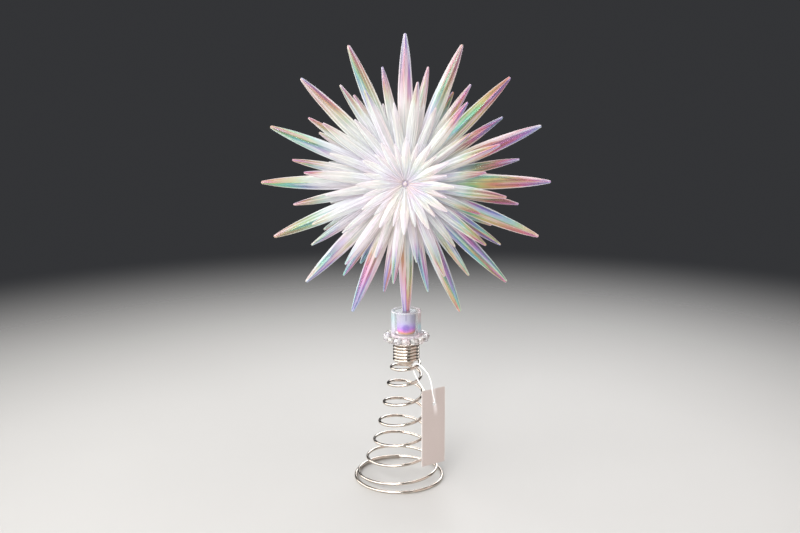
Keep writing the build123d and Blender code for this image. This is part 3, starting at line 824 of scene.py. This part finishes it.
BEAD_RING_R, BEAD_Z, BEADS, SIDES = 15.2, 115.3, 15, 10
rows = [(-2.78, 0.62), (-2.93, 1.00), (-2.85, 1.50), (-2.12, 2.58), (-0.82, 3.04), (0.82, 3.04), (2.12, 2.58),
        (2.85, 1.50), (2.93, 1.00), (2.78, 0.62)]
bead_parts = []
for b in range(BEADS):
    turn = math.radians(-90 + 360 * b / BEADS)
    centre = np.array([BEAD_RING_R * math.cos(turn), BEAD_RING_R * math.sin(turn), BEAD_Z])
    axis = np.array([-math.sin(turn), math.cos(turn), 0.0])
    e1 = np.array([math.cos(turn), math.sin(turn), 0.0])
    e2 = np.array([0.0, 0.0, 1.0])
    roll = rng.random() * 2 * math.pi
    verts, faces = [], []
    for i, (t, r) in enumerate(rows):
        offset = math.pi / SIDES if i in (3, 6) else 0.0
        for j in range(SIDES):
            a = roll + offset + 2 * math.pi * j / SIDES
            verts.append(centre + axis * t + r * (math.cos(a) * e1 + math.sin(a) * e2))
    for i in range(len(rows)):
        k = (i + 1) % len(rows)
        zig = (i in (3, 6)) != (k in (3, 6))
        for j in range(SIDES):
            q = (j + 1) % SIDES
            if zig:
                if i in (3, 6):
                    faces.append((i * SIDES + j, k * SIDES + j, k * SIDES + q))
                    faces.append((i * SIDES + j, k * SIDES + q, i * SIDES + q))
                else:
                    faces.append((i * SIDES + j, k * SIDES + j, i * SIDES + q))
                    faces.append((k * SIDES + j, k * SIDES + q, i * SIDES + q))
            else:
                faces.append((i * SIDES + j, k * SIDES + j, k * SIDES + q, i * SIDES + q))
    bead_parts.append((np.array(verts), faces, {"b_tone": np.full(len(verts), rng.random())}))
bead_v, bead_f, bead_a = join(bead_parts)
beads_obj = piece("bead_ring", bead_v * MM, bead_f, bead_plastic(), bead_a, smooth=False)
bevel = beads_obj.modifiers.new("soft_edges", "BEVEL")
bevel.width = 0.09 * MM
bevel.segments = 2
bevel.limit_method = "ANGLE"
bevel.angle_limit = math.radians(12)
bevel.harden_normals = False
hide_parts("beads")

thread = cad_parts["bead_wire"]
thread.data.materials.clear()
thread.data.materials.append(steel_thread())

# ------------------------------------------------------------------ spring, one wire in five lengths
TURNS = [-6.2, -5, -4, -3, -2, -1, 0, 1, 2, 3, 4, 5, 6, 6.75, 7.5]
HEIGHT = [111.1, 108.1, 105.6, 103.1, 100.6, 98.1, 92.8, 80.9, 65.9, 50.0, 34.6, 19.8, 6.9, 1.2, 1.2]
RADIUS = [9.2, 9.2, 9.2, 9.2, 9.2, 9.2, 11.0, 12.6, 14.9, 17.3, 20.3, 24.3, 31.0, 34.2, 34.6]
WIRE_R = 1.2


def steady(table, turn):
    """The same smooth table reading as the design: flat where the table is level, no overshoot."""
    i = 0
    while i < len(TURNS) - 2 and turn > TURNS[i + 1]:
        i += 1
    y0, y1 = table[i], table[i + 1]
    dx = TURNS[i + 1] - TURNS[i]
    before = table[i - 1] if i > 0 else y0
    after = table[i + 2] if i + 2 < len(table) else y1
    dx0 = TURNS[i] - TURNS[i - 1] if i > 0 else dx
    dx1 = TURNS[i + 2] - TURNS[i + 1] if i + 2 < len(table) else dx
    slopes = []
    for a, b, da, db in (((y0 - before) / dx0, (y1 - y0) / dx, dx0, dx), ((y1 - y0) / dx, (after - y1) / dx1, dx, dx1)):
        slopes.append(0.0 if a * b <= 0 else (da + db) / (da / a + db / b))
    s = (turn - TURNS[i]) / dx
    return ((2 * s**3 - 3 * s**2 + 1) * y0 + (s**3 - 2 * s**2 + s) * dx * slopes[0]
            + (3 * s**2 - 2 * s**3) * y1 + (s**3 - s**2) * dx * slopes[1])


def ease(value, low, high):
    s = min(1.0, max(0.0, (value - low) / (high - low)))
    return s * s * (3 - 2 * s)


def wire_at(turn):
    a = math.radians(-90 - 360 * turn)
    r = steady(RADIUS, turn) * 1.0008
    tilt = 1.0 * ease(turn, -1, 0) * (1 - ease(turn, 5, 6.5))
    return np.array([-6.0 * ease(turn, -1, 7) + r * math.cos(a), r * math.sin(a), steady(HEIGHT, turn) + tilt * math.sin(a)])


WIRE = spring_wire()


def wire_piece(name, first, last, node, round_start=False, round_end=False):
    step = 1 / 60
    count = max(2, int(round((last - first) / step)))
    turns = [first + (last - first) * i / count for i in range(count + 1)]
    line = [wire_at(t) for t in turns]
    runs = []
    for i in range(len(line)):
        t0, t1 = turns[i] - 1e-3, turns[i] + 1e-3
        d = wire_at(min(max(t1, TURNS[0]), TURNS[-1])) - wire_at(min(max(t0, TURNS[0]), TURNS[-1]))
        runs.append(d / np.linalg.norm(d))
    lengths = [0.0]
    for a, b in zip(line, line[1:]):
        lengths.append(lengths[-1] + float(np.linalg.norm(b - a)))
    offsets = [(p, d, 1.0, l, 0.0) for p, d, l in zip(line, runs, lengths)]
    if round_start:
        extra = [(line[0] + runs[0] * (0.35 * (1 - c)), runs[0], s, 0.0, 0.0) for c, s in ((1.0, 0.0), (0.98, 0.70), (0.7, 0.88), (0.35, 0.97))]
        offsets = extra + offsets[2:]
    if round_end:
        extra = [(line[-1] - runs[-1] * (0.35 * (1 - c)), runs[-1], s, lengths[-1], 0.0) for c, s in ((0.35, 0.97), (0.7, 0.88), (0.98, 0.70), (1.0, 0.0))]
        offsets = offsets[:-2] + extra
    sides = 20
    verts, faces, ln, ar, rings = [], [], [], [], []
    zero = steady(HEIGHT, first)
    for p, d, s, l, _ in offsets:
        e1 = np.cross(d, np.array([0.0, 0.0, 1.0]))
        e1 /= np.linalg.norm(e1)
        e2 = np.cross(d, e1)
        ring = []
        if s < 1e-6:
            ring.append(len(verts))
            verts.append(p)
            ln.append(l)
            ar.append(0.0)
        else:
            for j in range(sides):
                a = 2 * math.pi * j / sides
                ring.append(len(verts))
                verts.append(p + WIRE_R * s * (math.cos(a) * e1 + math.sin(a) * e2))
                ln.append(l + first * 97.0)
                ar.append(0.5 + 0.5 * math.cos(a) + (0.31 if math.sin(a) > 0 else 0.0) * abs(math.sin(a)))
        rings.append(ring)
    for a, b in zip(rings, rings[1:]):
        for j in range(sides):
            k = (j + 1) % sides
            if len(a) == 1:
                faces.append((a[0], b[j], b[k]))
            elif len(b) == 1:
                faces.append((a[j], b[0], a[k]))
            else:
                faces.append((a[j], b[j], b[k], a[k]))
    obj = piece(name, np.array(verts) * MM, faces, WIRE, {"w_length": ln, "w_around": ar})
    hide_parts(node)
    return obj


CUTS = [0.26875, 2.26875, 4.26875, 6.01875]
coil = wire_piece("spring_grip_coil", -6.2, CUTS[0], "grip_coil", round_start=True)
upper = wire_piece("spring_upper", CUTS[0], CUTS[1], "cone_upper")
middle = wire_piece("spring_middle", CUTS[1], CUTS[2], "cone_middle")
lower = wire_piece("spring_lower", CUTS[2], CUTS[3], "cone_lower")
ring = wire_piece("spring_base_ring", CUTS[3], 7.5, "base_ring", round_end=True)

# ------------------------------------------------------------------ tag, loop, lock
TAG_W, TAG_H, TAG_T = 21.6, 62.0, 0.6
TAG_AT = np.array([21.0, -13.07, 46.3])
TAG_TURN = math.radians(33.6)
tag_x = np.array([math.cos(TAG_TURN), math.sin(TAG_TURN), 0.0])
tag_n = np.array([math.sin(TAG_TURN), -math.cos(TAG_TURN), 0.0])
tag_z = np.array([0.0, 0.0, 1.0])
HOLE = (0.65, TAG_H / 2 - 12.2)
HOLE_R = 1.68


def tag_outline(inset, count_side):
    """Points round the card's edge with small corner radii, one turn, starting on the right side's middle."""
    w, h, r = TAG_W / 2 - inset, TAG_H / 2 - inset, max(0.1, 0.8 - inset)
    pts = []
    for cx, cz, a0 in ((w - r, h - r, 0), (-(w - r), h - r, 90), (-(w - r), -(h - r), 180), (w - r, -(h - r), 270)):
        for s in range(5):
            a = math.radians(a0 + 90 * s / 4)
            pts.append((cx + r * math.cos(a), cz + r * math.sin(a)))
    dense = []
    for i in range(len(pts)):
        p, q = np.array(pts[i]), np.array(pts[(i + 1) % len(pts)])
        n = max(1, int(np.linalg.norm(q - p) / 1.6))
        for s in range(n):
            dense.append(p + (q - p) * s / n)
    return np.array(dense)


outline = tag_outline(0.0, 0)
count = len(outline)
angles = np.arctan2(outline[:, 1] - HOLE[1], outline[:, 0] - HOLE[0])
hole_pts = np.stack([HOLE[0] + HOLE_R * np.cos(angles), HOLE[1] + HOLE_R * np.sin(angles)], 1)


def tag_point(u, w, n):
    """Card point from width, height and depth, with the card's slight curl."""
    curl = 0.16 * math.cos(math.pi * w / TAG_H) - 0.10 * (u / (TAG_W / 2)) ** 2 - 0.05
    return TAG_AT + tag_x * u + tag_z * w + tag_n * (n + curl)


tag_v, tag_f, tag_u, tag_vv = [], [], [], []
levels = []
shares_in = [0.0, 0.035, 0.10, 0.22, 0.36, 0.50, 0.64, 0.78, 0.90, 0.97, 1.0]
layers = []
for side, depth_n in ((1, TAG_T / 2), (-1, -TAG_T / 2)):
    rings = []
    for s in shares_in:
        ring_idx = []
        # the outer edge and the hole's edge are pressed back a little
        press = 0.05 if s in (0.0,) else (0.06 if s in (1.0,) else 0.0)
        for i in range(count):
            edge = outline[i] * (1 - (0.0 if s > 0 else 0.003))
            p = edge * (1 - s) + hole_pts[i] * s
            ring_idx.append(len(tag_v))
            tag_v.append(tag_point(p[0], p[1], side * (TAG_T / 2 - press)))
            tag_u.append(p[0] / TAG_W + 0.5)
            tag_vv.append(p[1] / TAG_H + 0.5)
        rings.append(ring_idx)
    layers.append(rings)
for which, rings in enumerate(layers):
    for a, b in zip(rings, rings[1:]):
        for j in range(count):
            k = (j + 1) % count
            quad = (a[j], a[k], b[k], b[j])
            tag_f.append(quad if which == 0 else quad[::-1])
for pair in ((layers[0][0], layers[1][0]), (layers[1][-1], layers[0][-1])):
    a, b = pair
    for j in range(count):
        k = (j + 1) % count
        tag_f.append((a[j], b[j], b[k], a[k]))
tag_obj = piece("tag_card", np.array(tag_v) * MM, tag_f, tag_card(), {"t_u": tag_u, "t_v": tag_vv})
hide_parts("hang_tag")

LOOP = loop_plastic()
loop_data.materials.append(LOOP)
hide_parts("tag_loop")

# the lock: a small ribbed barrel between the loop's two ends
start, stop = np.array(LOOP_ROUTE[-1]), np.array(LOOP_ROUTE[0])
axis = stop - start
length = np.linalg.norm(axis)
axis /= length
e1 = np.cross(axis, np.array([0.0, 1.0, 0.0]))
e1 /= np.linalg.norm(e1)
e2 = np.cross(axis, e1)
L = length - 0.1
lock_rows = [(0, 0.1), (0.55, 0.1), (0.95, 0.14), (1.2, 0.36), (1.27, 0.7)]
for i in range(4):
    z0 = 0.95 + i * (L - 1.9) / 4
    lock_rows += [(1.27, z0), (1.10, z0 + 0.16), (1.10, z0 + 0.34), (1.27, z0 + 0.5)]
lock_rows += [(1.27, L - 0.62), (1.2, L - 0.30), (0.95, L - 0.06), (0.55, L), (0, L)]
lock_v, lock_f, _ = lathe(lock_rows, 40)
lock_w = np.array([start + axis * z + e1 * x + e2 * y for x, y, z in lock_v])
lock_obj = piece("loop_lock_barrel", lock_w * MM, lock_f, LOOP)
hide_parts("loop_lock")

# consistent outward normals on every built mesh
import bmesh
for obj in (star_rim, star_front, star_back, heart_front, heart_back, pin_head, pin_back, cup_obj, peg_obj, beads_obj,
            coil, upper, middle, lower, ring, tag_obj, lock_obj):
    bm = bmesh.new()
    bm.from_mesh(obj.data)
    bmesh.ops.recalc_face_normals(bm, faces=bm.faces)
    bm.to_mesh(obj.data)
    bm.free()
for obj in (cup_obj, peg_obj, tag_obj, lock_obj, pin_head, pin_back):
    with bpy.context.temp_override(object=obj, active_object=obj, selected_objects=[obj], selected_editable_objects=[obj]):
        bpy.ops.object.shade_smooth_by_angle(angle=math.radians(42), keep_sharp_edges=False)

# ------------------------------------------------------------------ bodies
for obj in (star_rim, star_front, star_back, heart_front, heart_back, pin_head, pin_back, cup_obj, peg_obj, beads_obj):
    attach(obj, "head")
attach(coil, "grip")
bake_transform(upper)
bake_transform(middle)
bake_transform(lower)
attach(ring, "foot")
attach(loop_cord, "loop")
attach(lock_obj, "loop")
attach(tag_obj, "tag")

# ------------------------------------------------------------------ stage and light
floor_rows = [(r, -0.02) for r in (0.0001, 60, 120, 200, 300, 420, 560, 720, 880, 1020)]
floor_v, floor_f, _ = lathe([(0.0, -0.02)] + floor_rows[1:], 96)
floor = piece("floor", np.array(floor_v) * MM, floor_f, floor_paint())


def area(name, at, to, width, height, watts, colour=(1.0, 1.0, 1.0)):
    data = bpy.data.lights.new(name, "AREA")
    data.shape = "RECTANGLE"
    data.size, data.size_y = width, height
    data.energy = watts
    data.color = colour
    obj = bpy.data.objects.new(name, data)
    bpy.context.scene.collection.objects.link(obj)
    obj.location = at
    obj.rotation_euler = (Vector(to) - Vector(at)).to_track_quat("-Z", "Y").to_euler()
    obj.visible_camera = False
    return obj


area("key_left", (-0.95, -1.00, 0.72), (0.0, 0.0, 0.20), 1.9, 1.2, 29.0, (1.0, 0.99, 0.975))
area("side_left", (-1.45, 0.30, 0.55), (0.0, 0.0, 0.16), 1.5, 1.1, 13.0, (1.0, 0.985, 0.96))
area("fill_right", (1.20, -0.55, 0.50), (0.0, 0.0, 0.16), 1.5, 1.1, 5.5, (1.0, 0.84, 0.77))
area("front", (-0.28, -1.60, 1.05), (0.0, 0.0, 0.24), 0.8, 0.6, 20.0, (1.0, 0.985, 0.975))
area("top", (0.0, 0.05, 1.45), (0.0, 0.0, 0.1), 1.3, 1.1, 9.0, (1.0, 1.0, 1.0))
area("back", (0.35, 1.15, 0.85), (0.0, 0.0, 0.2), 1.2, 0.8, 10.0, (0.96, 0.98, 1.0))

world = bpy.data.worlds.new("studio")
bpy.context.scene.world = world
world.use_nodes = True
world.node_tree.nodes["Background"].inputs["Color"].default_value = (0.034, 0.035, 0.038, 1.0)
world.node_tree.nodes["Background"].inputs["Strength"].default_value = 1.0
